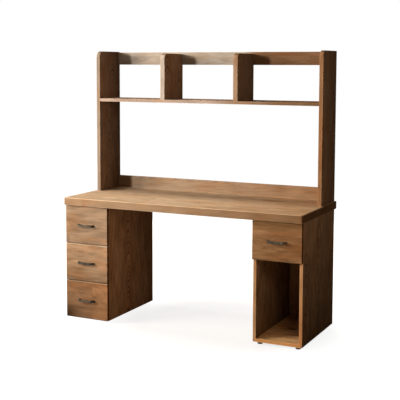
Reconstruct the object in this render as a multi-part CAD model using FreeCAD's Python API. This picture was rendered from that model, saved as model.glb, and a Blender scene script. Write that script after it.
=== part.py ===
import FreeCAD, Part
import math
import os

# A student desk with a hutch, in millimetres. X runs along the desk, Y from the drawer fronts to
# the back and Z up from the floor. The origin is on the floor, in the middle of the whole desk.

# Desktop
desk_width = 1500.0
desk_depth = 600.0
desk_height = 740.0
desktop_thickness = 45.0
desktop_corner_radius = 8.0
desktop_edge_chamfer = 3.0

# Pedestals, which stand under both ends of the desktop
pedestal_width = 286.0
pedestal_end_inset = 5.0
drawer_front_setback = 13.0
pedestal_rear_setback = 30.0
carcass_board = 18.0
back_panel_thickness = 6.0
back_rebate = 9.0
housing_depth = 6.0
stretcher_depth = 80.0

# Feet, four round glides under each pedestal, set further in under the left one
foot_height = 15.0
foot_diameter = 32.0
foot_face_diameter = 28.0
left_foot_side_inset = 60.0
left_foot_end_inset = 72.0
right_foot_side_inset = 32.0
right_foot_end_inset = 32.0

# Drawer fronts, which cover the edges of the carcass
front_thickness = 20.0
front_gap = 3.0
front_top_gap = 4.0
front_bottom_gap = 2.0
front_edge_radius = 2.0
front_clearance = 0.8
right_front_height = 214.0
shelf_reveal = 2.0
left_drawers = ("lower_left_drawer", "middle_left_drawer", "upper_left_drawer")
right_drawer = "right_drawer"

# Drawer boxes, carried on a runner at each side
box_side_thickness = 12.0
box_back_thickness = 12.0
box_bottom_thickness = 6.0
box_lower_setback = 30.0
box_upper_setback = 22.0
box_rear_clearance = 40.0
box_back_inset = 10.0
box_groove = 5.0
box_bottom_lift = 10.0

# Telescopic runners of three nested sheet channels
runner_height = 45.0
runner_width = 12.7
runner_sheet = 1.2
runner_play = 0.4
runner_lip = 3.2
runner_outer_reach = 9.0
runner_front_setback = 3.0
runner_rear_margin = 37.0
runner_lift = 60.0

# Bow handles
handle_length = 116.0
handle_bar_length = 88.0
handle_projection = 26.0
handle_bar_thickness = 7.0
handle_foot_length = 12.0
handle_height = 12.0
handle_outer_radius = 9.0
handle_inner_radius = 5.0
handle_edge_chamfer = 1.5

# Hutch
upright_height = 872.0
upright_depth = 245.0
upright_thickness = 22.0
upright_end_inset = 14.0
upright_corner_radius = 40.0
hutch_rear_inset = 2.0
hutch_shelf_lift = 562.0
hutch_shelf_thickness = 18.0
divider_thickness = 28.0
divider_drop = 15.0
divider_corner_radius = 36.0
left_divider_centre = -273.0
right_divider_centre = 205.5
rail_thickness = 18.0
top_rail_height = 78.0
top_rail_drop = 4.0
bottom_rail_height = 75.0
hutch_housing = 6.0
hutch_housing_stop = 15.0

# Dowels under the uprights and screws that hold the pedestals under the desktop
dowel_diameter = 8.0
dowel_length = 36.0
dowel_face_depth = 12.0
dowel_row_shares = (0.2, 0.8)
middle_share = 0.5
screw_diameter = 4.5
screw_length = 45.0
screw_head_diameter = 10.0
screw_head_height = 3.0
screw_side_shares = (0.2, 0.8)
peg_clearance = 0.1
peg_end_clearance = 1.0

# One overrun for all cuts
overrun = 2.0

# Planes that several pieces share
desk_rear = (desk_depth + handle_projection - drawer_front_setback) / 2
desk_front = desk_rear - desk_depth
desk_end = desk_width / 2
front_face = desk_front + drawer_front_setback
front_back = front_face + front_thickness
carcass_front = front_back + front_clearance
carcass_rear = desk_rear - pedestal_rear_setback
back_face = carcass_rear - back_panel_thickness
carcass_bottom = foot_height
carcass_top = desk_height - desktop_thickness
floor_top = carcass_bottom + carcass_board
stretcher_underside = carcass_top - carcass_board
fronts_bottom = carcass_bottom + front_bottom_gap
fronts_top = carcass_top - front_top_gap
left_front_height = (fronts_top - fronts_bottom + front_gap) / len(left_drawers) - front_gap
right_front_bottom = fronts_top - right_front_height
box_rear = back_face - box_rear_clearance
runner_front = carcass_front + runner_front_setback
runner_length = box_rear - runner_rear_margin - runner_front
left_pedestal_x = -desk_end + pedestal_end_inset
right_pedestal_x = desk_end - pedestal_end_inset - pedestal_width
hutch_rear = desk_rear - hutch_rear_inset
hutch_front = hutch_rear - upright_depth
rail_front = hutch_rear - rail_thickness
upright_outer = desk_end - upright_end_inset
upright_inner = upright_outer - upright_thickness
hutch_top = desk_height + upright_height
hutch_shelf_bottom = desk_height + hutch_shelf_lift
hutch_shelf_top = hutch_shelf_bottom + hutch_shelf_thickness
top_rail_top = hutch_top - top_rail_drop
top_rail_bottom = top_rail_top - top_rail_height
divider_top = hutch_top - divider_drop
hutch_span = (hutch_front, hutch_rear)

along_x = FreeCAD.Vector(1, 0, 0)
along_y = FreeCAD.Vector(0, 1, 0)
along_z = FreeCAD.Vector(0, 0, 1)


def save(name, shape):
    shape.exportStep(f"parts/{name}.step")


def block(x_span, y_span, z_span):
    spans = (x_span, y_span, z_span)
    sizes = [high - low for low, high in spans]
    corner = FreeCAD.Vector(*[low for low, high in spans])
    return Part.makeBox(*sizes, corner)


# A closed outline through corner points, each rounded by a tangent arc where its radius isn't zero
def rounded_outline(corners, radii):
    starts = []
    ends = []
    arcs = []
    for index, corner in enumerate(corners):
        back = (corners[index - 1] - corner).normalize()
        ahead = (corners[(index + 1) % len(corners)] - corner).normalize()
        half_angle = back.getAngle(ahead) / 2
        tangent = radii[index] / math.tan(half_angle)
        starts.append(corner + back * tangent)
        ends.append(corner + ahead * tangent)
        if radii[index]:
            inward = (back + ahead).normalize()
            middle = corner + inward * (radii[index] / math.sin(half_angle) - radii[index])
            arcs.append(Part.Arc(starts[-1], middle, ends[-1]).toShape())
    lines = [Part.makeLine(ends[index - 1], starts[index]) for index in range(len(corners))]
    return Part.Wire(Part.__sortEdges__(lines + arcs))


def prism(corners, radii, length):
    return Part.Face(rounded_outline(corners, radii)).extrude(length)


# A round peg through a joint, reaching back from the joint's point and ahead of it
def peg(point, direction, radius, reach_back, reach_ahead):
    return Part.makeCylinder(radius, reach_back + reach_ahead, point - direction * reach_back, direction)


def share_of(span, share):
    return span[0] + share * (span[1] - span[0])


# Screws up through the stretchers into the desktop
def screw_points():
    points = []
    for left in (left_pedestal_x, right_pedestal_x):
        for y_span in stretcher_spans:
            for share in screw_side_shares:
                x = share_of((left, left + pedestal_width), share)
                y = share_of(y_span, middle_share)
                points.append(FreeCAD.Vector(x, y, stretcher_underside))
    return points


def screw(point):
    head = peg(point, along_z, screw_head_diameter / 2, screw_head_height, 0)
    shank = peg(point, along_z, screw_diameter / 2, 0, screw_length)
    return head.fuse(shank).removeSplitter()


def screw_hole(point):
    radius = screw_diameter / 2 + peg_clearance
    return peg(point, along_z, radius, overrun, screw_length + peg_end_clearance)


# Points on the desktop where a dowel goes up into an upright
def dowel_points():
    points = []
    centre = (upright_outer + upright_inner) / 2
    for x in (-centre, centre):
        for share in dowel_row_shares:
            points.append(FreeCAD.Vector(x, share_of(hutch_span, share), desk_height))
    return points


def dowel(point):
    return peg(point, along_z, dowel_diameter / 2, dowel_face_depth, dowel_length - dowel_face_depth)


def dowel_hole(point):
    radius = dowel_diameter / 2 + peg_clearance
    reach_back = dowel_face_depth + peg_end_clearance
    reach_ahead = dowel_length - dowel_face_depth + peg_end_clearance
    return peg(point, along_z, radius, reach_back, reach_ahead)


# The desktop, with rounded corners and a small chamfer round both faces
def desktop():
    slab = block((-desk_end, desk_end), (desk_front, desk_rear), (carcass_top, desk_height))
    corners = [edge for edge in slab.Edges if edge.BoundBox.ZLength > desktop_thickness / 2]
    slab = slab.makeFillet(desktop_corner_radius, corners)
    rims = [edge for edge in slab.Edges if edge.BoundBox.ZLength < desktop_thickness / 2]
    return slab.makeChamfer(desktop_edge_chamfer, rims)


# A pedestal: its boards are let into the sides, and its back lies in a rebate
def pedestal(name, left, side_names, shelves):
    right = left + pedestal_width
    board_span = (left + carcass_board - housing_depth, right - carcass_board + housing_depth)
    rebate_span = (left + carcass_board - back_rebate, right - carcass_board + back_rebate)
    carcass_z = (carcass_bottom, carcass_top)
    pieces = {}
    pieces["bottom"] = block(board_span, (carcass_front, back_face), (carcass_bottom, floor_top))
    for stretcher, y_span in zip(("front_stretcher", "rear_stretcher"), stretcher_spans):
        pieces[stretcher] = block(board_span, y_span, (stretcher_underside, carcass_top))
    for shelf, z_span in shelves.items():
        pieces[shelf] = block(board_span, (carcass_front, back_face), z_span)
    pieces["back"] = block(rebate_span, (back_face, carcass_rear), carcass_z)
    let_in = list(pieces.values())
    side_spans = ((left, left + carcass_board), (right - carcass_board, right))
    for side, x_span in zip(side_names, side_spans):
        pieces[side] = block(x_span, (carcass_front, carcass_rear), carcass_z).cut(let_in)
    for stretcher in ("front_stretcher", "rear_stretcher"):
        pieces[stretcher] = pieces[stretcher].cut(screw_holes)
    for piece, shape in pieces.items():
        save(f"{name}_{piece}", shape)


# Round glides, narrower at the floor
def foot(x, y):
    place = FreeCAD.Vector(x, y, 0)
    return Part.makeCone(foot_face_diameter / 2, foot_diameter / 2, foot_height, place, along_z)


def feet():
    left_feet = (left_pedestal_x, left_foot_side_inset, left_foot_end_inset)
    right_feet = (right_pedestal_x, right_foot_side_inset, right_foot_end_inset)
    glides = []
    for left, side_inset, end_inset in (left_feet, right_feet):
        for x in (left + side_inset, left + pedestal_width - side_inset):
            for y in (carcass_front + end_inset, carcass_rear - end_inset):
                glides.append(foot(x, y))
    return Part.makeCompound(glides)


# A bow handle: a flat bar on two slanted legs, its outer edges chamfered for the fingers
def handle(x, z):
    half = handle_length / 2
    bar = handle_bar_length / 2
    inner_half = half - handle_foot_length
    inner_depth = handle_projection - handle_bar_thickness
    inner_bar = inner_half - (half - bar) * inner_depth / handle_projection
    low = z - handle_height / 2
    bow = handle_prism(x, low, handle_height, half, bar, handle_projection, handle_outer_radius)
    rims = []
    for edge in bow.Edges:
        flat = edge.BoundBox.ZLength < handle_height / 2
        if flat and edge.CenterOfMass.y < front_face - handle_edge_chamfer:
            rims.append(edge)
    bow = bow.makeChamfer(handle_edge_chamfer, rims)
    gap_height = handle_height + 2 * overrun
    gap = handle_prism(x, low - overrun, gap_height, inner_half, inner_bar, inner_depth, handle_inner_radius)
    return bow.cut(gap)


def handle_prism(x, low, height, half, bar, depth, radius):
    outline = ((half, 0), (bar, depth), (-bar, depth), (-half, 0))
    corners = [FreeCAD.Vector(x + across, front_face - out, low) for across, out in outline]
    return prism(corners, (0, radius, radius, 0), along_z * height)


# One runner's channels, as corners across from the carcass side and up from the runner's middle
def runner_sections():
    sheet = runner_sheet
    outer_half = runner_height / 2
    middle_half = outer_half - sheet - runner_play
    inner_race = middle_half - sheet - runner_play
    inner_half = middle_half - runner_lip - runner_play
    middle_web = sheet + runner_play
    middle_reach = runner_outer_reach - sheet - runner_play
    foot_start = middle_web + sheet + runner_play
    outer = folded_channel(0, runner_outer_reach, outer_half)
    middle = folded_channel(middle_web, middle_reach, middle_half)
    upper_inner = [
        (runner_width, inner_half),
        (foot_start + sheet, inner_half),
        (foot_start + sheet, inner_race),
        (foot_start, inner_race),
        (foot_start, inner_half - sheet),
        (runner_width - sheet, inner_half - sheet),
    ]
    inner = upper_inner + [(across, -up) for across, up in reversed(upper_inner)]
    return {"outer": outer, "middle": middle, "inner": inner}


# A channel whose flanges end in lips that hold the next channel in
def folded_channel(web, reach, half):
    inner = half - runner_sheet
    upper = [
        (web, half),
        (reach, half),
        (reach, half - runner_lip),
        (reach - runner_sheet, half - runner_lip),
        (reach - runner_sheet, inner),
        (web + runner_sheet, inner),
    ]
    lower = [(across, -up) for across, up in reversed(upper)]
    return upper + lower


def runners(name, left, z):
    sides = ((left + carcass_board, 1), (left + pedestal_width - carcass_board, -1))
    for member, section in runner_sections().items():
        pair = []
        for face, inward in sides:
            corners = [FreeCAD.Vector(face + inward * across, runner_front, z + up) for across, up in section]
            outline = Part.makePolygon(corners + corners[:1])
            pair.append(Part.Face(outline).extrude(along_y * runner_length))
        save(f"{name}_{member}_runners", Part.makeCompound(pair))


# A drawer: the sides are let into the front, and the bottom is held in grooves all round
def drawer(name, left, bottom, height):
    right = left + pedestal_width
    box_left = left + carcass_board + runner_width
    box_right = right - carcass_board - runner_width
    box_z = (bottom + box_lower_setback, bottom + height - box_upper_setback)
    side_y = (front_back - box_groove, box_rear)
    inner = (box_left + box_side_thickness, box_right - box_side_thickness)
    groove_x = (inner[0] - box_groove, inner[1] + box_groove)
    back_rear = box_rear - box_back_inset
    back_front = back_rear - box_back_thickness
    panel_low = box_z[0] + box_bottom_lift
    panel_z = (panel_low, panel_low + box_bottom_thickness)
    panel = block(groove_x, (front_back - box_groove, back_front + box_groove), panel_z)
    back = block(groove_x, (back_front, back_rear), box_z)
    left_side = block((box_left, inner[0]), side_y, box_z)
    right_side = block((inner[1], box_right), side_y, box_z)
    board = block((left, right), (front_face, front_back), (bottom, bottom + height))
    rims = [edge for edge in board.Edges if edge.CenterOfMass.y < front_face + front_edge_radius / 2]
    board = board.makeFillet(front_edge_radius, rims)
    save(f"{name}_front", board.cut([left_side, right_side, panel]))
    save(f"{name}_left_side", left_side.cut([back, panel]))
    save(f"{name}_right_side", right_side.cut([back, panel]))
    save(f"{name}_back", back.cut(panel))
    save(f"{name}_bottom", panel)
    save(f"{name}_handle", handle((left + right) / 2, bottom + height / 2))
    runners(name, left, bottom + runner_lift)


# A board of the hutch that stands on edge, with its upper front corner rounded
def standing_board(x_span, bottom, top, radius):
    corners = [
        FreeCAD.Vector(x_span[0], hutch_front, bottom),
        FreeCAD.Vector(x_span[0], hutch_rear, bottom),
        FreeCAD.Vector(x_span[0], hutch_rear, top),
        FreeCAD.Vector(x_span[0], hutch_front, top),
    ]
    return prism(corners, (0, 0, 0, radius), along_x * (x_span[1] - x_span[0]))


# The hutch: its shelf and rails are let into the uprights, and its dividers into the shelf. The
# housings of the shelf and the dividers stop short of the front edges.
def hutch():
    inside = (-upright_inner, upright_inner)
    let_in = (-upright_inner - hutch_housing, upright_inner + hutch_housing)
    stopped = (hutch_front + hutch_housing_stop, hutch_rear)
    rail_y = (rail_front, hutch_rear)
    shelf_z = (hutch_shelf_bottom, hutch_shelf_top)
    tongue_z = (hutch_shelf_top - hutch_housing, hutch_shelf_top)
    top_rail = block(let_in, rail_y, (top_rail_bottom, top_rail_top))
    bottom_rail = block(let_in, rail_y, (desk_height, desk_height + bottom_rail_height))
    shelf = block(inside, hutch_span, shelf_z).fuse(block(let_in, stopped, shelf_z)).removeSplitter()
    dividers = {}
    for side, centre in (("left", left_divider_centre), ("right", right_divider_centre)):
        span = (centre - divider_thickness / 2, centre + divider_thickness / 2)
        board = standing_board(span, hutch_shelf_top, divider_top, divider_corner_radius)
        tongue = block(span, stopped, tongue_z)
        dividers[side] = board.fuse(tongue).removeSplitter().cut(top_rail)
        save(f"hutch_{side}_divider", dividers[side])
    left_x = (-upright_outer, -upright_inner)
    right_x = (upright_inner, upright_outer)
    for side, span in (("left", left_x), ("right", right_x)):
        board = standing_board(span, desk_height, hutch_top, upright_corner_radius)
        save(f"hutch_{side}_upright", board.cut([shelf, top_rail, bottom_rail] + dowel_holes))
    save("hutch_shelf", shelf.cut(list(dividers.values())))
    save("hutch_top_rail", top_rail)
    save("hutch_bottom_rail", bottom_rail)


os.makedirs("parts", exist_ok=True)

stretcher_spans = (
    (carcass_front, carcass_front + stretcher_depth),
    (back_face - stretcher_depth, back_face),
)
screw_holes = [screw_hole(point) for point in screw_points()]
dowel_holes = [dowel_hole(point) for point in dowel_points()]

save("desktop", desktop().cut(screw_holes + dowel_holes))
save("pedestal_screws", Part.makeCompound([screw(point) for point in screw_points()]))
save("hutch_dowels", Part.makeCompound([dowel(point) for point in dowel_points()]))
save("feet", feet())
hutch()

right_shelf_bottom = right_front_bottom + shelf_reveal
right_shelf_span = (right_shelf_bottom, right_shelf_bottom + carcass_board)
pedestal("left_pedestal", left_pedestal_x, ("outer_side", "inner_side"), {})
pedestal("right_pedestal", right_pedestal_x, ("inner_side", "outer_side"), {"shelf": right_shelf_span})

for place, name in enumerate(left_drawers):
    bottom = fronts_bottom + place * (left_front_height + front_gap)
    drawer(name, left_pedestal_x, bottom, left_front_height)
drawer(right_drawer, right_pedestal_x, right_front_bottom, right_front_height)
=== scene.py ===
import math
import bmesh
import bpy
from mathutils import Matrix, Vector


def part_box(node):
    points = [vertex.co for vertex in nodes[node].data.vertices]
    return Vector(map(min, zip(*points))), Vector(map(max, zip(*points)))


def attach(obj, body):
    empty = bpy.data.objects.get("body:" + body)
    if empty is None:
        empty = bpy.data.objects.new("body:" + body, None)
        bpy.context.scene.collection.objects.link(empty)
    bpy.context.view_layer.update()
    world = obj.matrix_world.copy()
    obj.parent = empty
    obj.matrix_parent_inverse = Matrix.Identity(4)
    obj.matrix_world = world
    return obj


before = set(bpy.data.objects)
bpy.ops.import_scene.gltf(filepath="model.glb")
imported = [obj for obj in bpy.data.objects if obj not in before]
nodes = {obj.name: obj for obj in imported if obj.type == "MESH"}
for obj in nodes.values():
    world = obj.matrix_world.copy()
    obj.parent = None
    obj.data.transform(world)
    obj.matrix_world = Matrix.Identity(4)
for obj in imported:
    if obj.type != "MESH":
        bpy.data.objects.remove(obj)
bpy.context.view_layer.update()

mm = 0.001
scene = bpy.context.scene
scene.view_settings.view_transform = "Standard"
drawers = ("lower_left_drawer", "middle_left_drawer", "upper_left_drawer", "right_drawer")
noChange = (1, 1, 1, 1)  # a gain that leaves a colour as it is
print("frame loaded with", len(nodes), "pieces")


def toLinear(hexColour):
    channels = [int(hexColour[i:i + 2], 16) / 255 for i in (1, 3, 5)]
    return [c / 12.92 if c <= 0.04045 else ((c + 0.055) / 1.055) ** 2.4 for c in channels] + [1.0]


# links hold sockets or plain values; a Mix of colours takes its share at 0, its colours at 6 and 7, and
# gives its colour at output 2
def addNode(tree, kind, links=None, **settings):
    node = tree.nodes.new("ShaderNode" + kind)
    for setting, value in settings.items():
        setattr(node, setting, value)
    for socket, value in (links or {}).items():
        if isinstance(value, bpy.types.NodeSocket):
            tree.links.new(value, node.inputs[socket])
        else:
            node.inputs[socket].default_value = value
    return node


def newMaterial(name):
    material = bpy.data.materials.new(name)
    material.use_nodes = True
    return material, material.node_tree, material.node_tree.nodes["Principled BSDF"]


def linkFinish(tree, shader, colour, gloss, relief):
    tree.links.new(colour, shader.inputs["Base Color"])
    tree.links.new(gloss, shader.inputs["Roughness"])
    tree.links.new(relief, shader.inputs["Normal"])


# the camera stands a little right of the desk, near the height of its hutch, and looks slightly down
cameraSetup = {
    "place": (2.3406, -4.8378, 1.5220),
    "turn": 25.73,  # degrees to the left of straight ahead
    "dip": 5.21,
    "roll": 0.18,
    "lens": 82.74,
    "sensor": 36.0,
    "frameDrop": -0.125,  # the desk sits low in the frame
}


def makeCamera(setup):
    turn, dip, roll = (math.radians(setup[key]) for key in ("turn", "dip", "roll"))
    ahead = Vector((-math.sin(turn) * math.cos(dip), math.cos(turn) * math.cos(dip), -math.sin(dip)))
    level = Vector((math.cos(turn), math.sin(turn), 0.0))
    upright = level.cross(ahead)
    right = level * math.cos(roll) + upright * math.sin(roll)
    up = upright * math.cos(roll) - level * math.sin(roll)
    lens = bpy.data.cameras.new("deskCamera")
    lens.lens, lens.sensor_width, lens.shift_y = setup["lens"], setup["sensor"], setup["frameDrop"]
    camera = bpy.data.objects.new("deskCamera", lens)
    scene.collection.objects.link(camera)
    stand = Matrix.Translation(setup["place"])
    camera.matrix_world = stand @ Matrix((right, up, -ahead)).transposed().to_4x4()
    scene.camera = camera


makeCamera(cameraSetup)
print("camera placed")

# soft boxes, with place, aim and width in metres, power in watts and beam in degrees: a white key stands
# far off at the left front, and its narrow beam fades over the right of the desk; a wide, rather low window
# box stands near at the left, and these two cast the two sets of shadows on the hutch; one box hangs over
# the desktop, a weak one fills from the right, and a low one lights the back
softBoxes = {
    "keyBox": {"place": (-5.40, -11.0, 2.45), "aim": (-0.50, 0.0, 1.25), "width": 0.90,
               "watts": 9.4, "beam": 15.0, "colour": "#FFFFFF"},
    "windowBox": {"place": (-3.80, -2.80, 2.10), "aim": (0.0, 0.0, 0.80), "width": 2.00,
                  "watts": 262.0, "beam": 180.0, "colour": "#FFF1DF"},
    "topBox": {"place": (-1.10, 0.18, 4.40), "aim": (-0.50, 0.18, 0.74), "width": 1.20,
               "watts": 88.0, "beam": 180.0, "colour": "#FFF6EA"},
    "fillBox": {"place": (2.10, -2.30, 2.20), "aim": (0.0, 0.0, 0.60), "width": 1.20,
                "watts": 12.0, "beam": 180.0, "colour": "#FFDDB8"},
    "rearBox": {"place": (-1.30, 3.40, 1.10), "aim": (0.0, 0.30, 0.80), "width": 1.60,
                "watts": 112.0, "beam": 180.0, "colour": "#FFF1DF"},
}
studio = {
    "fill": 0.022,  # the weak light that the backdrop gives to everything
    "floorSize": 40.0,
    "floorGlow": (0.775, 1.0),  # under the desk, dimmed as painted shade where its shadow falls, and full away from it
    "floorReach": (0.44, 0.80),
    "shadowMiddle": (0.14, 0.02, 0.0),
    "floorSeen": ("#8F9091", "#949596"),
    "floorBounce": "#8A8580",
    "rollerWidth": 90.0,  # mm of the roller's faint clouds in the paint
}


def softBox(name, setup):
    lamp = bpy.data.lights.new(name, "AREA")
    lamp.shape, lamp.size, lamp.energy = "SQUARE", setup["width"], setup["watts"]
    lamp.spread = math.radians(setup["beam"])
    lamp.color = toLinear(setup["colour"])[:3]
    box = bpy.data.objects.new(name, lamp)
    scene.collection.objects.link(box)
    box.location = setup["place"]
    box.rotation_euler = (Vector(setup["aim"]) - box.location).to_track_quat("-Z", "Y").to_euler()


def seenRays(tree):
    path = addNode(tree, "LightPath")
    seen = path.outputs["Is Camera Ray"]
    for ray in ("Is Glossy Ray", "Is Transmission Ray"):
        seen = addNode(tree, "Math", {0: seen, 1: path.outputs[ray]}, operation="MAXIMUM").outputs[0]
    return seen


def makeStudio(setup):
    for name, box in softBoxes.items():
        softBox(name, box)

    # white where the camera or a shiny piece looks at the backdrop, a weak fill on everything else
    world = bpy.data.worlds.new("paleBackdrop")
    scene.world = world
    world.use_nodes = True
    tree = world.node_tree
    tree.nodes.clear()
    level = addNode(tree, "MapRange", {"Value": seenRays(tree), "To Min": setup["fill"], "To Max": 1.0})
    glow = addNode(tree, "Background", {"Color": (1, 1, 1, 1), "Strength": level.outputs[0]})
    addNode(tree, "OutputWorld", {0: glow.outputs[0]})

    size = setup["floorSize"] / 2
    corners = [(-size, -size, 0), (size, -size, 0), (size, size, 0), (-size, size, 0)]
    mesh = bpy.data.meshes.new("studioFloor")
    mesh.from_pydata(corners, [], [(0, 1, 2, 3)])
    floor = bpy.data.objects.new("studioFloor", mesh)
    scene.collection.objects.link(floor)

    # matt painted floor: white where it is seen, with the shadow kept and its glow dimmed near the desk as
    # painted shade, and a soft grey bounce
    material, tree, shader = newMaterial("mattFloorPaint")
    tree.nodes.remove(shader)
    seen = seenRays(tree)
    rolled = addNode(tree, "TexNoise", {"Scale": 1 / (setup["rollerWidth"] * mm), "Detail": 2.0})
    pale, paler = (toLinear(colour) for colour in setup["floorSeen"])
    coat = addNode(tree, "Mix", {0: rolled.outputs[0], 6: pale, 7: paler}, data_type="RGBA")
    bounce = toLinear(setup["floorBounce"])
    paint = addNode(tree, "Mix", {0: seen, 6: bounce, 7: coat.outputs[2]}, data_type="RGBA")
    shadowed = addNode(tree, "BsdfDiffuse", {"Color": paint.outputs[2]})
    place = addNode(tree, "TexCoord")
    reach = addNode(tree, "VectorMath", {0: place.outputs["Object"], 1: setup["shadowMiddle"]},
                    operation="DISTANCE")
    near, far = setup["floorReach"]
    dim, bright = setup["floorGlow"]
    level = addNode(tree, "MapRange", {"Value": reach.outputs["Value"], "From Min": near, "From Max": far,
                                       "To Min": dim, "To Max": bright}, interpolation_type="SMOOTHSTEP")
    lift = addNode(tree, "Math", {0: seen, 1: level.outputs[0]}, operation="MULTIPLY")
    glow = addNode(tree, "Emission", {"Strength": lift.outputs[0]})
    both = addNode(tree, "AddShader", {0: shadowed.outputs[0], 1: glow.outputs[0]})
    tree.links.new(both.outputs[0], tree.nodes["Material Output"].inputs["Surface"])
    mesh.materials.append(material)


makeStudio(studio)
print("studio lit")

# walnut-stained ash, glued up in staves, planed, sanded and oiled: the stain sinks into the open pores of
# the early wood, so fine dark growth lines and arches lie over a cloudy, here and there reddish ground; the
# oil is dead matt, and the arrises are painted paler, for wear and as a painted highlight; the colour also
# carries painted light and shade across the desk and its boards; sizes are in mm
ashLook = {
    "spread": (1.62, 1.20, 0.82, 0.46),  # pale late wood to stained early wood, as shares of the stain
    "stretch": 0.12,  # patterns run about eight times as far along the grain as across it,
    "fibreStretch": 0.28,  # the fibres still further,
    "cloudStretch": 2.6,  # and the clouds of the stain less far
    "staveShift": 900.0,  # how far apart in the pattern two staves are cut
    "rowsBefore": 100,  # keeps the count of rows above zero
    "jointShift": 7.3,  # how far the end joints of rows differ, in lengths of a stave
    "seedSteps": (1.7, 3.1, 5.3),  # keep the chances of rows, staves and rings apart from board to board
    "pith": (25.0, 70.0),  # how far behind the face the heart of the tree lay
    "heartRange": (0.2, 0.8),  # and where across a stave
    "ringWidth": 5.5,  # real rings are 2 to 4 mm, drawn wider so that they show
    "ringSteps": ((0.0, 0.85), (0.14, 1.0), (0.45, 0.45), (0.84, 0.0), (1.0, 0.80)),  # the shade in a year
    "ringJitter": (6.0, 16.0),  # how far and over what width neighbouring rings differ
    "ringGain": (2.2, 0.3, 0.4),  # by chance, at least, and the mean that is taken off the tone again
    "waver": (16.0, 95.0),  # how far and over what width the rings wander
    "fibreWidth": 2.2,  # real fibres are far finer, drawn coarser so that they show
    "streakWidth": 12.0,
    "cloudWidth": 40.0,
    "poreWidth": 1.1,  # real pores are about 0.3 mm, drawn wider so that they show
    "poreRange": (0.60, 0.72),  # the part of the noise that makes a pore
    "pore": 0.34,  # the shade in a pore, as a share of the stain
    "flush": (0.98, 0.85, 0.73),  # the reddish heartwood, as shares of red, green and blue
    "flushWidth": 75.0,
    "flushRange": (0.46, 0.68),  # the part of the noise over which the flush comes up
    "staveShare": 0.20, "cloudShare": 0.85, "ringShare": 0.36, "streakShare": 0.55, "fibreShare": 0.26,
    "poreShare": 0.45,
    "glueLine": 0.4,  # between two staves
    "glueShade": 0.40,  # how far it takes the shade of a pore
    "endGrain": (0.45, 0.38, 0.30),  # sawn ends drink more of the stain
    "endRange": (0.6, 0.9),  # how squarely a face must look along the grain to be a sawn end
    "narrowFace": 0.5,  # a face that looks less squarely than this through the board is an edge
    "rubAndHighlight": 1.45,  # on a rubbed arris, as a share of the stain: wear and a painted highlight
    "rubHighlightWidth": 3.2,  # how far from the arris the rubbing starts,
    "rubHighlightCore": 0.6,  # and where it is full
    "roughness": (0.46, 0.62),
    "glossRange": (0.25, 0.75),  # the part of the fibres' noise that the roughness follows
    "specular": 0.0,
    "paintedRightTone": "#9C6B43", "paintedLeftTone": "#9C7450",  # painted light: the left of the desk is painted paler and greyer, where the light falls strongest
    "paintedLightEnds": (600.0, -500.0),  # from right to left, in the desk's own frame
    "relief": 0.15,
    "reliefDepth": 0.4,
    "poreHollow": -0.8,
}

# birch, planed and thinly oiled: pale, close-grained, nearly without figure, and without the painted light
# in the drawers
birchLook = dict(
    ashLook, paintedLeftTone=ashLook["paintedRightTone"], spread=(1.16, 1.05, 0.93, 0.80), pore=0.60, flush=(1.0, 0.98, 0.95),
    ringWidth=9.0, cloudShare=0.45, ringShare=0.18, streakShare=0.40, fibreShare=0.18, poreShare=0.20,
    endGrain=(0.80, 0.78, 0.75), rubAndHighlight=1.06, roughness=(0.50, 0.64), specular=0.3, relief=0.08)

# beech, turned and fluted for glue: pinkish, with short dark rays
beechLook = dict(birchLook, spread=(1.20, 1.06, 0.90, 0.75), pore=0.45, ringWidth=5.0, fibreWidth=1.0,
                 poreWidth=0.7, poreShare=0.45)


def shadeOf(colour, share):
    return [channel * share for channel in colour[:3]] + [1.0]


def gainTo(after, before):
    return [new / old for new, old in zip(toLinear(after), toLinear(before))]


def setRamp(ramp, steps):
    for index, (where, colour) in enumerate(steps):
        element = ramp.elements[index] if index < 2 else ramp.elements.new(where)
        element.position, element.color = where, colour


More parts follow.
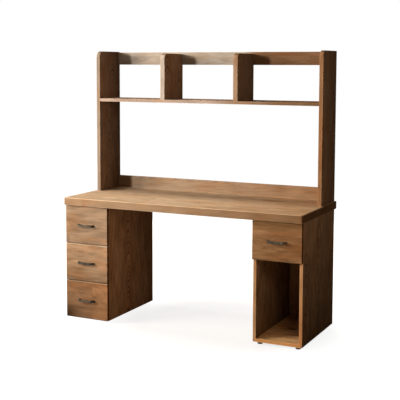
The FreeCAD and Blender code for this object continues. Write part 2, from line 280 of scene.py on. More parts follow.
def timber(name, look, board, node):
    low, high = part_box(node)
    half = (high - low) / 2 / mm
    material, tree, shader = newMaterial(name)
    width, length = board["staves"]
    rowSeed, staveSeed, ringSeed = (board["seed"] * step for step in look["seedSteps"])

    # millimetres from the middle of the board, and the same as along, across and through the grain
    place = addNode(tree, "TexCoord")
    centred = addNode(tree, "VectorMath", {0: place.outputs["Object"], 1: (low + high) / 2},
                      operation="SUBTRACT")
    sized = addNode(tree, "VectorMath", {0: centred.outputs[0], "Scale": 1 / mm}, operation="SCALE")
    split = addNode(tree, "SeparateXYZ", {0: sized.outputs[0]})
    along, across, through = (split.outputs[axis] for axis in board["axes"])
    grain = addNode(tree, "CombineXYZ", {0: along, 1: across, 2: through})

    # which stave this is, and the chances that make it differ from its neighbours
    firstRow = board["firstJoint"] + look["rowsBefore"]
    rowPlace = addNode(tree, "Math", {0: across, 1: 1 / width, 2: firstRow}, operation="MULTIPLY_ADD")
    row = addNode(tree, "Math", {0: rowPlace.outputs[0]}, operation="FLOOR")
    rowKey = addNode(tree, "Math", {0: row.outputs[0], 1: rowSeed}, operation="ADD")
    rowChance = addNode(tree, "TexWhiteNoise", {"W": rowKey.outputs[0]}, noise_dimensions="1D")
    lengths = addNode(tree, "Math", {0: along, 1: 1 / length}, operation="MULTIPLY")
    columnPlace = addNode(tree, "Math", {0: rowChance.outputs["Value"], 1: look["jointShift"],
                                         2: lengths.outputs[0]}, operation="MULTIPLY_ADD")
    column = addNode(tree, "Math", {0: columnPlace.outputs[0]}, operation="FLOOR")
    staveKey = addNode(tree, "CombineXYZ", {0: row.outputs[0], 1: column.outputs[0], 2: staveSeed})
    stave = addNode(tree, "TexWhiteNoise", {"Vector": staveKey.outputs[0]}, noise_dimensions="3D")
    chance = addNode(tree, "SeparateColor", {0: stave.outputs["Color"]})

    # growth rings round a pith behind the face, which wander, lean along the grain and differ in width
    strip = addNode(tree, "Math", {0: rowPlace.outputs[0]}, operation="FRACT")
    nearest, farthest = look["heartRange"]
    heart = addNode(tree, "Math", {0: chance.outputs["Red"], 1: farthest - nearest, 2: nearest},
                    operation="MULTIPLY_ADD")
    aside = addNode(tree, "Math", {0: strip.outputs[0], 1: board["heart"] or heart.outputs[0]},
                    operation="SUBTRACT")
    fromPith = addNode(tree, "Math", {0: aside.outputs[0], 1: width}, operation="MULTIPLY")
    halfThick = half["XYZ".index(board["axes"][2])]
    shallow, deepest = (depth - halfThick for depth in look["pith"])
    depth = addNode(tree, "Math", {0: chance.outputs["Green"], 1: deepest - shallow, 2: shallow},
                    operation="MULTIPLY_ADD")
    faceward = addNode(tree, "Math", {0: through}, operation="ABSOLUTE")
    deep = addNode(tree, "Math", {0: faceward.outputs[0], 1: depth.outputs[0]}, operation="ADD")
    pithPlace = addNode(tree, "CombineXYZ", {0: fromPith.outputs[0], 1: deep.outputs[0]})
    radius = addNode(tree, "VectorMath", {0: pithPlace.outputs[0]}, operation="LENGTH")
    drawn = addNode(tree, "VectorMath", {0: grain.outputs[0], 1: (look["stretch"], 1, 1)},
                    operation="MULTIPLY")
    apart = addNode(tree, "VectorMath", {0: stave.outputs["Color"], 1: (look["staveShift"],) * 3,
                                         2: drawn.outputs[0]}, operation="MULTIPLY_ADD")
    waverReach, waverWidth = look["waver"]
    waver = addNode(tree, "TexNoise", {"Vector": apart.outputs[0], "Scale": 1 / waverWidth, "Detail": 2.0,
                                       "Roughness": 0.4})
    wavered = addNode(tree, "Math", {0: waver.outputs[0], 1: waverReach, 2: radius.outputs["Value"]},
                      operation="MULTIPLY_ADD")
    lean = addNode(tree, "Math", {0: chance.outputs["Blue"], 1: board["lean"] / 2, 2: board["lean"] / 4},
                   operation="MULTIPLY_ADD")
    ringPlace = addNode(tree, "Math", {0: along, 1: lean.outputs[0], 2: wavered.outputs[0]},
                        operation="MULTIPLY_ADD")
    jitterReach, jitterWidth = look["ringJitter"]
    jitterPlace = addNode(tree, "Math", {0: ringPlace.outputs[0], 1: 1 / jitterWidth, 2: ringSeed},
                          operation="MULTIPLY_ADD")
    jitter = addNode(tree, "TexNoise", {"W": jitterPlace.outputs[0], "Scale": 1.0}, noise_dimensions="1D")
    uneven = addNode(tree, "Math", {0: jitter.outputs[0], 1: jitterReach, 2: ringPlace.outputs[0]},
                     operation="MULTIPLY_ADD")
    rings = addNode(tree, "Math", {0: uneven.outputs[0], 1: 1 / look["ringWidth"]}, operation="MULTIPLY")
    phase = addNode(tree, "Math", {0: rings.outputs[0]}, operation="FRACT")
    ringLine = addNode(tree, "ValToRGB", {0: phase.outputs[0]})
    setRamp(ringLine.color_ramp, [(where, (shade, shade, shade, 1)) for where, shade in look["ringSteps"]])
    year = addNode(tree, "Math", {0: rings.outputs[0]}, operation="FLOOR")
    yearChance = addNode(tree, "TexWhiteNoise", {"W": year.outputs[0]}, noise_dimensions="1D")

    # fibres and open pores drawn out along the grain, and the patchy way that the stain takes
    threads = addNode(tree, "VectorMath", {0: apart.outputs[0], 1: (look["fibreStretch"], 1, 1)},
                      operation="MULTIPLY")
    fibres = addNode(tree, "TexNoise", {"Vector": threads.outputs[0], "Scale": 1 / look["fibreWidth"],
                                        "Detail": 3.0, "Roughness": 0.6})
    streaks = addNode(tree, "TexNoise", {"Vector": apart.outputs[0], "Scale": 1 / look["streakWidth"],
                                         "Detail": 2.0})
    flecks = addNode(tree, "TexNoise", {"Vector": apart.outputs[0], "Scale": 1 / look["poreWidth"],
                                        "Detail": 1.0})
    closed, opened = look["poreRange"]
    pores = addNode(tree, "MapRange", {"Value": flecks.outputs[0], "From Min": closed, "From Max": opened})
    poresInRings = addNode(tree, "Math", {0: pores.outputs[0], 1: ringLine.outputs["Color"]},
                           operation="MULTIPLY")
    drift = addNode(tree, "VectorMath", {0: apart.outputs[0], 1: (look["cloudStretch"], 1, 1)},
                    operation="MULTIPLY")
    clouds = addNode(tree, "TexNoise", {"Vector": drift.outputs[0], "Scale": 1 / look["cloudWidth"],
                                        "Detail": 3.0})
    flush = addNode(tree, "TexNoise", {"Vector": drift.outputs[0], "Scale": 1 / look["flushWidth"],
                                       "Detail": 2.0})
    brown, red = look["flushRange"]
    flushed = addNode(tree, "MapRange", {"Value": flush.outputs[0], "From Min": brown, "From Max": red})

    # the rings show strongly in some years and places, hardly in others, and less on a lipped front edge
    thinAxis = [float(axis == board["axes"][2]) for axis in "XYZ"]
    broad = addNode(tree, "VectorMath", {0: place.outputs["Normal"], 1: thinAxis}, operation="DOT_PRODUCT")
    broadness = addNode(tree, "Math", {0: broad.outputs["Value"]}, operation="ABSOLUTE")
    narrow = addNode(tree, "Math", {0: broadness.outputs[0], 1: look["narrowFace"]}, operation="LESS_THAN")
    reached = addNode(tree, "Math", {0: split.outputs["Y"], 1: board["lipReach"] - half.y},
                      operation="LESS_THAN")
    front = addNode(tree, "Math", {0: narrow.outputs[0], 1: reached.outputs[0]}, operation="MULTIPLY")
    ringing = look["ringShare"] * board["rings"]
    byChance, atLeast, ringMean = (share * ringing for share in look["ringGain"])
    strength = addNode(tree, "Math", {0: yearChance.outputs["Value"], 1: flush.outputs[0]},
                       operation="MULTIPLY")
    ringShare = addNode(tree, "Math", {0: strength.outputs[0], 1: byChance, 2: atLeast},
                        operation="MULTIPLY_ADD")
    calm = addNode(tree, "Math", {0: front.outputs[0], 1: board["calmLip"], 2: 1.0},
                   operation="MULTIPLY_ADD")
    ringLeft = addNode(tree, "Math", {0: ringShare.outputs[0], 1: calm.outputs[0]}, operation="MULTIPLY")
    ringShade = addNode(tree, "Math", {0: ringLine.outputs["Color"], 1: ringLeft.outputs[0]},
                        operation="MULTIPLY")

    # all shades add up to a tone about the middle of the stain's spread
    shades = ((stave.outputs["Value"], "staveShare"), (clouds.outputs[0], "cloudShare"),
              (streaks.outputs[0], "streakShare"), (fibres.outputs[0], "fibreShare"))
    start = 0.5 - sum(look[share] * board["figure"] for shade, share in shades) / 2 - ringMean
    tone = addNode(tree, "Math", {0: ringShade.outputs[0], 1: start}, operation="ADD").outputs[0]
    for shade, share in shades:
        tone = addNode(tree, "Math", {0: shade, 1: look[share] * board["figure"], 2: tone},
                       operation="MULTIPLY_ADD").outputs[0]
    stain = addNode(tree, "ValToRGB", {0: tone})
    mid = toLinear(board["stain"])
    last = len(look["spread"]) - 1
    steps = [(step / last, shadeOf(mid, share)) for step, share in enumerate(look["spread"])]
    setRamp(stain.color_ramp, steps)
    poreDepth = addNode(tree, "Math", {0: poresInRings.outputs[0], 1: look["poreShare"]},
                        operation="MULTIPLY")

    # a hair of dark glue between the staves
    middle = addNode(tree, "Math", {0: strip.outputs[0], 1: 0.5}, operation="SUBTRACT")
    edge = addNode(tree, "Math", {0: middle.outputs[0]}, operation="ABSOLUTE")
    glue = addNode(tree, "Math", {0: edge.outputs[0], 1: 0.5 - look["glueLine"] / 2 / width},
                   operation="GREATER_THAN")
    glueDepth = addNode(tree, "Math", {0: glue.outputs[0], 1: look["glueShade"], 2: poreDepth.outputs[0]},
                        operation="MULTIPLY_ADD", use_clamp=True)
    colour = addNode(tree, "Mix", {0: glueDepth.outputs[0], 6: stain.outputs["Color"],
                                   7: shadeOf(mid, look["pore"])}, data_type="RGBA")
    flushGain = addNode(tree, "Mix", {0: flushed.outputs[0], 6: noChange, 7: (*look["flush"], 1)},
                        data_type="RGBA")
    warmed = addNode(tree, "VectorMath", {0: colour.outputs[2], 1: flushGain.outputs[2]},
                     operation="MULTIPLY")

    # sawn ends, where the face looks along the grain
    grainAxis = [float(axis == board["axes"][0]) for axis in "XYZ"]
    facing = addNode(tree, "VectorMath", {0: place.outputs["Normal"], 1: grainAxis},
                     operation="DOT_PRODUCT")
    sawn = addNode(tree, "Math", {0: facing.outputs["Value"]}, operation="ABSOLUTE")
    slanting, square = look["endRange"]
    sawnPlace = addNode(tree, "MapRange", {"Value": sawn.outputs[0], "From Min": slanting,
                                           "From Max": square})
    endGain = addNode(tree, "Mix", {0: sawnPlace.outputs[0], 6: noChange, 7: (*look["endGrain"], 1)},
                      data_type="RGBA")
    ended = addNode(tree, "VectorMath", {0: warmed.outputs[0], 1: endGain.outputs[2]},
                    operation="MULTIPLY")

    # the lipping along the front edge, and a painted highlight or painted shadow along the upper edge
    lipShare = gainTo(board["lip"] or board["stain"], board["stain"])
    lipGain = addNode(tree, "Mix", {0: front.outputs[0], 6: noChange, 7: lipShare}, data_type="RGBA")
    lipped = addNode(tree, "VectorMath", {0: ended.outputs[0], 1: lipGain.outputs[2]},
                     operation="MULTIPLY")
    paintedTopEdge, paintedTopDepth = board["paintedTopEdge"]
    paintedTopPlace = addNode(tree, "MapRange", {"Value": split.outputs["Z"], "From Min": half.z - paintedTopDepth,
                                            "From Max": half.z})
    paintedTopShare = gainTo(paintedTopEdge or board["stain"], board["stain"])
    paintedTopGain = addNode(tree, "Mix", {0: paintedTopPlace.outputs[0], 6: noChange, 7: paintedTopShare},
                        data_type="RGBA")
    paintedTopColour = addNode(tree, "VectorMath", {0: lipped.outputs[0], 1: paintedTopGain.outputs[2]},
                      operation="MULTIPLY")

    # arrises, where two faces lie near, are painted paler, for wear and as a painted highlight
    outward = addNode(tree, "VectorMath", {0: sized.outputs[0]}, operation="ABSOLUTE")
    inward = addNode(tree, "VectorMath", {0: half, 1: outward.outputs[0]}, operation="SUBTRACT")
    inwards = addNode(tree, "SeparateXYZ", {0: inward.outputs[0]}).outputs
    nearer = addNode(tree, "Math", {0: inwards["X"], 1: inwards["Y"]}, operation="MINIMUM")
    farther = addNode(tree, "Math", {0: inwards["X"], 1: inwards["Y"]}, operation="MAXIMUM")
    second = addNode(tree, "Math", {0: farther.outputs[0], 1: inwards["Z"]}, operation="MINIMUM")
    fromArris = addNode(tree, "Math", {0: nearer.outputs[0], 1: second.outputs[0]}, operation="MAXIMUM")
    rubHighlightGain = addNode(tree, "MapRange", {"Value": fromArris.outputs[0], "From Min": look["rubHighlightWidth"],
                                         "From Max": look["rubHighlightCore"], "To Min": 1.0, "To Max": look["rubAndHighlight"]})

    # painted shade towards the back, the lower end and the very bottom, and in one spot, with painted light
    # where a share is above one
    paintedRearGain = addNode(tree, "MapRange", {"Value": split.outputs["Y"], "From Min": -half.y,
                                          "From Max": half.y, "To Min": 1.0, "To Max": board["paintedRearShading"]})
    footGain = addNode(tree, "MapRange", {"Value": split.outputs["Z"], "From Min": half.z,
                                          "From Max": -half.z, "To Min": 1.0, "To Max": board["foot"]})
    footKept = addNode(tree, "Math", {0: footGain.outputs[0], 1: front.outputs[0]}, operation="MAXIMUM")
    paintedGapShade, gapShadeHeight = board["paintedGapShade"]
    gapShadeGain = addNode(tree, "MapRange", {"Value": split.outputs["Z"], "From Min": gapShadeHeight - half.z,
                                          "From Max": -half.z, "To Min": 1.0, "To Max": paintedGapShade})
    (patchX, patchZ), (patchWidth, patchHeight), shadePatchShare = board["paintedShadePatch"]
    fromPatch = addNode(tree, "VectorMath", {0: sized.outputs[0], 1: (patchX, 0, patchZ)},
                        operation="SUBTRACT")
    perPatch = (1 / patchWidth, 0, 1 / patchHeight)
    patchPlace = addNode(tree, "VectorMath", {0: fromPatch.outputs[0], 1: perPatch}, operation="MULTIPLY")
    patchReach = addNode(tree, "VectorMath", {0: patchPlace.outputs[0]}, operation="LENGTH")
    shadePatchGain = addNode(tree, "MapRange", {"Value": patchReach.outputs["Value"], "To Min": shadePatchShare,
                                           "To Max": 1.0}, interpolation_type="SMOOTHSTEP")
    gain = rubHighlightGain
    for further in (paintedRearGain, footKept, gapShadeGain, shadePatchGain):
        gain = addNode(tree, "Math", {0: gain.outputs[0], 1: further.outputs[0]}, operation="MULTIPLY")
    wornAndPaintedShade = addNode(tree, "VectorMath", {0: paintedTopColour.outputs[0], "Scale": gain.outputs[0]}, operation="SCALE")

    # painted light and shade, which change from the right of the desk to its left
    inPlace = addNode(tree, "SeparateXYZ", {0: place.outputs["Object"]})
    paintedRightEnd, paintedLeftEnd = (end * mm for end in board.get("paintedLightEnds", look["paintedLightEnds"]))
    paintedLightPlace = addNode(tree, "MapRange", {"Value": inPlace.outputs["X"], "From Min": paintedRightEnd,
                                        "From Max": paintedLeftEnd})
    paintedLightShare = gainTo(board.get("paintedLeftTone", look["paintedLeftTone"]), look["paintedRightTone"])
    paintedLightGain = addNode(tree, "Mix", {0: paintedLightPlace.outputs[0], 6: noChange, 7: paintedLightShare}, data_type="RGBA")
    paintedLightColour = addNode(tree, "VectorMath", {0: wornAndPaintedShade.outputs[0], 1: paintedLightGain.outputs[2]}, operation="MULTIPLY")

    # fibres and pores roughen the oiled face and stand in a slight relief
    smooth, coarse = look["roughness"]
    least, most = look["glossRange"]
    gloss = addNode(tree, "MapRange", {"Value": fibres.outputs[0], "From Min": least, "From Max": most,
                                       "To Min": smooth, "To Max": coarse})
    hollow = addNode(tree, "Math", {0: poresInRings.outputs[0], 1: look["poreHollow"],
                                    2: fibres.outputs[0]}, operation="MULTIPLY_ADD")
    relief = addNode(tree, "Bump", {"Height": hollow.outputs[0], "Strength": look["relief"],
                                    "Distance": look["reliefDepth"] * mm})
    linkFinish(tree, shader, paintedLightColour.outputs[0], gloss.outputs[0], relief.outputs[0])
    shader.inputs["Specular IOR Level"].default_value = look["specular"]
    return material


# what each board can have of its own, in mm and in shares of the stain
plainBoard = {
    "lean": 0.30,  # of the rings along the grain, which draws them out into arches
    "figure": 1.0,  # how strongly the stain takes to the grain
    "rings": 1.0,  # how strongly the growth rings show
    "heart": None,  # where across a stave the heart lies, by chance if it isn't given
    "lip": None,  # the stain of the front edge, where it differs
    "lipReach": 2.5,  # how far back from the front a narrow face counts as front edge
    "calmLip": 0.0,  # what the front edge adds to the strength of the rings
    "paintedRearShading": 1.0,  # the share at the back: painted shade where less light reaches, or painted light above one
    "foot": 1.0,  # the share at the lower end, as painted shade towards the floor
    "paintedGapShade": (1.0, 1.0),  # painted shade at the very bottom, for the shadow in the gap below, and up to what height
    "paintedTopEdge": (None, 1.0),  # the painted highlight or painted shadow along the upper edge, and down to what depth
    "paintedShadePatch": ((0, 0), (1, 1), 1.0),  # a painted shadow in a spot: its middle, half width and height, and its share
}
edgedBoard = dict(plainBoard, lip="#A27A56", calmLip=-0.8)
# grain runs along, across and through each kind of board by these axes; staves are width by length; a kind
# without a stain has one for each of its boards below
boards = {
    "desktop": dict(edgedBoard, axes="XYZ", staves=(74, 900), lean=0.10),
    # drawer fronts carry painted shade along their lowest few mm, for the shadow in the gap below
    "drawer_front": dict(plainBoard, axes="XZY", staves=(230, 900), rings=0.4, figure=1.2,
                         paintedGapShade=(0.35, 6.0)),
    # sides, uprights and dividers are painted darker towards the back as painted shade
    "side": dict(edgedBoard, axes="ZYX", staves=(270, 1500), lean=0.42, paintedRearShading=0.72, stain="#8E6038"),
    "upright": dict(edgedBoard, axes="ZYX", staves=(250, 1500), figure=0.7, paintedRearShading=0.60, lipReach=200.0),
    "divider": dict(edgedBoard, axes="ZYX", staves=(250, 1500), figure=0.7, paintedRearShading=0.65, lipReach=200.0),
    "rail": dict(plainBoard, axes="XZY", staves=(90, 900), lean=0.10, rings=0.35, figure=0.6),
    "back": dict(plainBoard, axes="ZXY", staves=(150, 1500), stain="#8A5E38"),
    "level": dict(edgedBoard, axes="XYZ", staves=(95, 1500), lean=0.10, figure=0.7, lip="#A88058",
                  stain="#A07650"),
    "drawer_side": dict(plainBoard, axes="YZX", staves=(240, 1500), stain="#D8BC92"),
    "drawer_back": dict(plainBoard, axes="XZY", staves=(240, 1500), stain="#D6B98E"),
    "drawer_bottom": dict(plainBoard, axes="XYZ", staves=(240, 1500), stain="#DCC198"),
    "dowels": dict(plainBoard, axes="ZYX", staves=(200, 1500), stain="#C9A273"),
}
# boards that took the stain in their own way, that carry painted light or shade of their own, or that were
# cut differently from the rest
ownLooks = {
    # the desktop is painted paler towards the back against the shelf's shadow, and paler at its left as
    # painted light
    "desktop": {"stain": "#B79777", "lip": "#937254", "figure": 0.55, "rings": 0.5, "paintedRearShading": 1.15,
                "paintedLightEnds": (560.0, 100.0), "paintedLeftTone": "#A2754E"},
    # the drawer fronts carry painted light and shade: a painted shadow under the desktop along the top of
    # the upper left and right fronts, a painted highlight on the top edges of the middle and lower fronts,
    # painted shade towards the foot of the middle front, and painted shade towards the left and in the
    # lower left corner of the lowest front
    "upper_left_drawer_front": {"stain": "#906E51", "paintedTopEdge": ("#806047", 11.0)},
    "middle_left_drawer_front": {"stain": "#B58862", "foot": 0.43, "paintedTopEdge": ("#CEAA85", 6.0)},
    "lower_left_drawer_front": {"stain": "#986F4E", "paintedTopEdge": ("#AF937B", 6.0),
                                "paintedShadePatch": ((-143, -105), (135, 115), 0.20),
                                "paintedLightEnds": (-475.0, -640.0), "paintedLeftTone": "#86603F"},
    "right_drawer_front": {"stain": "#9B7451", "paintedTopEdge": ("#785838", 60.0)},
    "left_pedestal_inner_side": {"stain": "#BA875E", "staves": (560, 1500), "firstJoint": 0.5,
                                 "heart": 0.42, "paintedRearShading": 0.36, "lean": 0.35, "rings": 1.8},
    "right_pedestal_outer_side": {"stain": "#BD9673", "lip": "#CC9A6E", "foot": 0.50},
    # the open bay's left wall is stained paler and painted darker towards the floor, so its upper part
    # carries painted light
    "right_pedestal_inner_side": {"stain": "#BB9C7C", "lip": "#B28A64", "foot": 0.42},
    "right_pedestal_back": {"stain": "#C8A47D", "paintedRearShading": 0.52, "foot": 0.75, "rings": 0.2, "figure": 0.5},
    # the open bay's floor is stained pale with painted shade towards the back, so its front carries painted
    # light
    "right_pedestal_bottom": {"stain": "#F2C894", "lip": "#DDA872", "paintedRearShading": 0.55},
    "hutch_left_upright": {"stain": "#A47E61", "lip": "#8A7059", "paintedRearShading": 0.34},
    "hutch_right_upright": {"stain": "#B59274", "lip": "#957050"},
    "hutch_left_divider": {"stain": "#B68B69", "lip": "#A9937F"},
    "hutch_right_divider": {"stain": "#99806A", "lip": "#8E7158"},
    # the shelf's top is stained dark as painted shade, and its left is painted paler as painted light
    "hutch_shelf": {"stain": "#6D513A", "lip": "#7A5F46", "paintedLightEnds": (450.0, 50.0), "paintedLeftTone": "#C39672"},
    # the top rail's two left bays are painted paler as painted light, and its lower part painted darker as
    # painted shade
    "hutch_top_rail": {"stain": "#826247", "paintedLightEnds": (240.0, 150.0), "paintedLeftTone": "#C7A987", "foot": 0.90},
    "hutch_bottom_rail": {"stain": "#98795C"},
}
boardEndings = (
    ("desktop", "desktop"), ("_drawer_front", "drawer_front"), ("_drawer_left_side", "drawer_side"),
    ("_drawer_right_side", "drawer_side"), ("_drawer_back", "drawer_back"),
    ("_drawer_bottom", "drawer_bottom"), ("er_side", "side"), ("_upright", "upright"),
    ("_divider", "divider"), ("_rail", "rail"), ("_pedestal_back", "back"), ("_bottom", "level"),
    ("_shelf", "level"), ("_stretcher", "level"), ("_dowels", "dowels"),
)
birchKinds = ("drawer_side", "drawer_back", "drawer_bottom")
easedKinds = ("side", "upright", "divider", "rail", "level", "drawer_side", "drawer_back")
rowStep = 0.37  # of a stave's width, by which each board's joints differ from the last one's


def boardKind(node):
    return next((kind for ending, kind in boardEndings if node.endswith(ending)), None)


# sanded edges of the sawn boards, mm and degrees; seams are welded and flat faces joined before
arris = {"width": 0.9, "steps": 2, "angle": 50.0, "seam": 0.01, "flat": 0.5}


def easeEdges(piece, setup):
    weld = piece.modifiers.new("weldSeams", "WELD")
    weld.merge_threshold = setup["seam"] * mm
    flat = piece.modifiers.new("joinFlats", "DECIMATE")
    flat.decimate_type, flat.angle_limit = "DISSOLVE", math.radians(setup["flat"])
    bevel = piece.modifiers.new("easeEdges", "BEVEL")
    bevel.width, bevel.segments = setup["width"] * mm, setup["steps"]
    bevel.limit_method, bevel.angle_limit = "ANGLE", math.radians(setup["angle"])
    bevel.use_clamp_overlap = True


def dress(piece, material):
    for place in range(len(piece.material_slots)):
        piece.material_slots[place].material = material


boardNumber = 0
for node in sorted(nodes):
    kind = boardKind(node)
    if kind is None:
        continue
    boardNumber += 1
    board = dict(boards[kind], seed=boardNumber, firstJoint=0.5 + boardNumber * rowStep)
    board.update(ownLooks.get(node, {}))
    if kind == "dowels":
        dress(nodes[node], timber("turnedBeech", beechLook, board, node))
    elif kind in birchKinds:
        dress(nodes[node], timber("planedBirch_" + node, birchLook, board, node))
    else:
        dress(nodes[node], timber("stainedAsh_" + node, ashLook, board, node))
    if kind in easedKinds:
        easeEdges(nodes[node], arris)
print("boards grained:", boardNumber)

# zinc alloy, die-cast, blackened and rubbed back to a pewter sheen: dark hollows, paler where hands rub;
# the skin of black oxide makes it less of a mirror than bare metal; mottle and grit are in mm, and relief
# is the strength and depth of the grit
pewter = {"dark": "#2B251C", "rubbed": "#5E5544", "mottle": 26.0, "mottleRange": (0.35, 0.70), "grit": 1.4,
          "roughness": (0.36, 0.52), "relief": (0.06, 0.2), "bare": (0.05, 0.35), "specular": 0.25}


def rubbedPewter(look):
    material, tree, shader = newMaterial("rubbedPewterZinc")
    place = addNode(tree, "TexCoord").outputs["Object"]
    mottle = addNode(tree, "TexNoise", {"Vector": place, "Scale": 1 / (look["mottle"] * mm), "Detail": 3.0})
    grit = addNode(tree, "TexNoise", {"Vector": place, "Scale": 1 / (look["grit"] * mm), "Detail": 2.0})
    black, grey = look["mottleRange"]
    spread = addNode(tree, "MapRange", {"Value": mottle.outputs[0], "From Min": black, "From Max": grey})
    dark, rubbed = toLinear(look["dark"]), toLinear(look["rubbed"])
    colour = addNode(tree, "Mix", {0: spread.outputs[0], 6: dark, 7: rubbed}, data_type="RGBA")
    smooth, coarse = look["roughness"]
    gloss = addNode(tree, "MapRange", {"Value": grit.outputs[0], "To Min": smooth, "To Max": coarse})
    strength, depth = look["relief"]
    relief = addNode(tree, "Bump", {"Height": grit.outputs[0], "Strength": strength,
                                    "Distance": depth * mm})
    linkFinish(tree, shader, colour.outputs[2], gloss.outputs[0], relief.outputs[0])
    oxide, bare = look["bare"]
    metal = addNode(tree, "MapRange", {"Value": spread.outputs[0], "To Min": oxide, "To Max": bare})
    tree.links.new(metal.outputs[0], shader.inputs["Metallic"])
    shader.inputs["Specular IOR Level"].default_value = look["specular"]
    return material


# mild steel strip, roll-formed and zinc-plated: cool grey, faintly clouded, with draw marks along its
# length; real draw marks are far finer, drawn coarser so that they show
zincPlate = {"bright": "#C9CCD0", "dull": "#9DA1A6", "cloud": 14.0, "drawMark": 0.8, "drawStretch": 0.01,
             "roughness": (0.24, 0.42), "relief": (0.08, 0.1)}


def platedSteel(name, look):
    material, tree, shader = newMaterial(name)
    place = addNode(tree, "TexCoord").outputs["Object"]
    cloud = addNode(tree, "TexNoise", {"Vector": place, "Scale": 1 / (look["cloud"] * mm), "Detail": 3.0})
    drawn = addNode(tree, "VectorMath", {0: place, 1: (1, look["drawStretch"], 1)}, operation="MULTIPLY")
    marks = addNode(tree, "TexNoise", {"Vector": drawn.outputs[0], "Scale": 1 / (look["drawMark"] * mm),
                                       "Detail": 2.0})
    bright, dull = toLinear(look["bright"]), toLinear(look["dull"])
    colour = addNode(tree, "Mix", {0: cloud.outputs[0], 6: bright, 7: dull}, data_type="RGBA")
    smooth, coarse = look["roughness"]
    gloss = addNode(tree, "MapRange", {"Value": marks.outputs[0], "To Min": smooth, "To Max": coarse})
    strength, depth = look["relief"]
    relief = addNode(tree, "Bump", {"Height": marks.outputs[0], "Strength": strength,
                                    "Distance": depth * mm})
    linkFinish(tree, shader, colour.outputs[2], gloss.outputs[0], relief.outputs[0])
    shader.inputs["Metallic"].default_value = 1.0
    return material


# polypropylene, injection-moulded with a spark-eroded skin: black, dull and finely pebbled; the real
# pebbles are finer, drawn coarser so that they show
polypropylene = {"black": "#141414", "scuffed": "#2A2928", "pebble": 1.2, "scuff": 11.0,
                 "roughness": (0.48, 0.62), "relief": (0.2, 0.2), "ior": 1.49}


def mouldedPolypropylene(look):
    material, tree, shader = newMaterial("mouldedPolypropylene")
    place = addNode(tree, "TexCoord").outputs["Object"]
    pebble = addNode(tree, "TexNoise", {"Vector": place, "Scale": 1 / (look["pebble"] * mm), "Detail": 1.0})
    scuff = addNode(tree, "TexNoise", {"Vector": place, "Scale": 1 / (look["scuff"] * mm), "Detail": 3.0})
    black, scuffed = toLinear(look["black"]), toLinear(look["scuffed"])
    colour = addNode(tree, "Mix", {0: scuff.outputs[0], 6: black, 7: scuffed}, data_type="RGBA")
    smooth, coarse = look["roughness"]
    gloss = addNode(tree, "MapRange", {"Value": scuff.outputs[0], "To Min": smooth, "To Max": coarse})
    strength, depth = look["relief"]
    relief = addNode(tree, "Bump", {"Height": pebble.outputs[0], "Strength": strength,
                                    "Distance": depth * mm})
    linkFinish(tree, shader, colour.outputs[2], gloss.outputs[0], relief.outputs[0])
    shader.inputs["IOR"].default_value = look["ior"]
    return material


handleMetal = rubbedPewter(pewter)
runnerSteel = platedSteel("zincPlatedStrip", zincPlate)
screwSteel = platedSteel("zincPlatedScrew", dict(zincPlate, drawMark=0.5, cloud=4.0))
dress(nodes["feet"], mouldedPolypropylene(polypropylene))
dress(nodes["pedestal_screws"], screwSteel)
for drawer in drawers:
    dress(nodes[drawer + "_handle"], handleMetal)
    for member in ("outer", "middle", "inner"):
        dress(nodes[drawer + "_" + member + "_runners"], runnerSteel)
print("metal and plastic finished")

# the machine screws that hold each handle, with pan heads on the inner face of the drawer front, in mm
handleScrew = {
    "headRadius": 4.0, "headHeight": 2.4, "crown": 0.8,
    "footShare": 0.98,  # of the radius, where the head meets the wood
    "shoulder": 0.4,  # between the straight wall and the crown
    "crossWidth": 1.1, "crossReach": 2.3, "crossDepth": 1.3,
    "cutterRise": 1.0,  # how far the cutter of the cross stands above the head
    "fromEnd": 7.0, "sides": 24, "rings": 5,
}


def panHead(setup):
    radius, height, crown = setup["headRadius"] * mm, setup["headHeight"] * mm, setup["crown"] * mm
    profile = [(radius * setup["footShare"], 0.0), (radius, height - crown - setup["shoulder"] * mm)]
    for ring in range(setup["rings"]):
        swing = math.radians(90) * (ring + 1) / (setup["rings"] + 1)
        profile.append((radius * math.cos(swing), height - crown + crown * math.sin(swing)))
    shape = bmesh.new()
    sides = setup["sides"]
    turns = [2 * math.pi * s / sides for s in range(sides)]
    loops = []
    for reach, lift in profile:
        corners = [(reach * math.cos(turn), lift, reach * math.sin(turn)) for turn in turns]
        loops.append([shape.verts.new(corner) for corner in corners])
    for lower, upper in zip(loops, loops[1:]):
        for s in range(sides):
            shape.faces.new((lower[s], upper[s], upper[(s + 1) % sides], lower[(s + 1) % sides]))
    shape.faces.new(loops[0])
    shape.faces.new(reversed(loops[-1]))
    bmesh.ops.recalc_face_normals(shape, faces=shape.faces)
    return shape


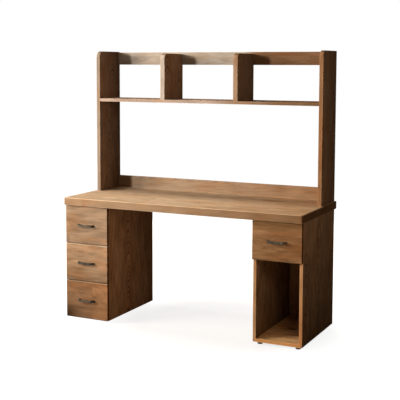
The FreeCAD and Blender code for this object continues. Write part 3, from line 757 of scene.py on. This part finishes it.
def crossCutter(setup):
    half, reach = setup["crossWidth"] / 2 * mm, setup["crossReach"] * mm
    low = (setup["headHeight"] - setup["crossDepth"]) * mm
    high = (setup["headHeight"] + setup["cutterRise"]) * mm
    outline = [(half, reach), (half, half), (reach, half), (reach, -half), (half, -half), (half, -reach),
               (-half, -reach), (-half, -half), (-reach, -half), (-reach, half), (-half, half),
               (-half, reach)]
    shape = bmesh.new()
    bottom = [shape.verts.new((x, low, z)) for x, z in outline]
    top = [shape.verts.new((x, high, z)) for x, z in outline]
    for s in range(len(outline)):
        t = (s + 1) % len(outline)
        shape.faces.new((bottom[s], bottom[t], top[t], top[s]))
    shape.faces.new(bottom)
    shape.faces.new(list(reversed(top)))
    bmesh.ops.recalc_face_normals(shape, faces=shape.faces)
    return shape


def meshObject(name, shape):
    mesh = bpy.data.meshes.new(name)
    shape.to_mesh(mesh)
    shape.free()
    piece = bpy.data.objects.new(name, mesh)
    scene.collection.objects.link(piece)
    return piece


def crossHead(setup):
    head = meshObject("panHead", panHead(setup))
    cutter = meshObject("crossCutter", crossCutter(setup))
    cut = head.modifiers.new("crossRecess", "BOOLEAN")
    cut.object, cut.operation, cut.solver = cutter, "DIFFERENCE", "EXACT"
    bpy.context.view_layer.update()
    finished = bpy.data.meshes.new_from_object(head.evaluated_get(bpy.context.evaluated_depsgraph_get()))
    for spare in (head, cutter):
        spareMesh = spare.data
        bpy.data.objects.remove(spare)
        bpy.data.meshes.remove(spareMesh)
    return finished


screwMesh = crossHead(handleScrew)
screwMesh.name = "handleScrewHead"
screwMesh.materials.append(screwSteel)
for drawer in drawers:
    handleLow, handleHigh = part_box(drawer + "_handle")
    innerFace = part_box(drawer + "_front")[1].y
    level = (handleLow.z + handleHigh.z) / 2
    inset = handleScrew["fromEnd"] * mm
    for side, across in (("left", handleLow.x + inset), ("right", handleHigh.x - inset)):
        screw = bpy.data.objects.new(drawer + "_handle_screw_" + side, screwMesh)
        scene.collection.objects.link(screw)
        screw.location = (across, innerFace, level)
        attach(screw, drawer)
print("handle screws driven")
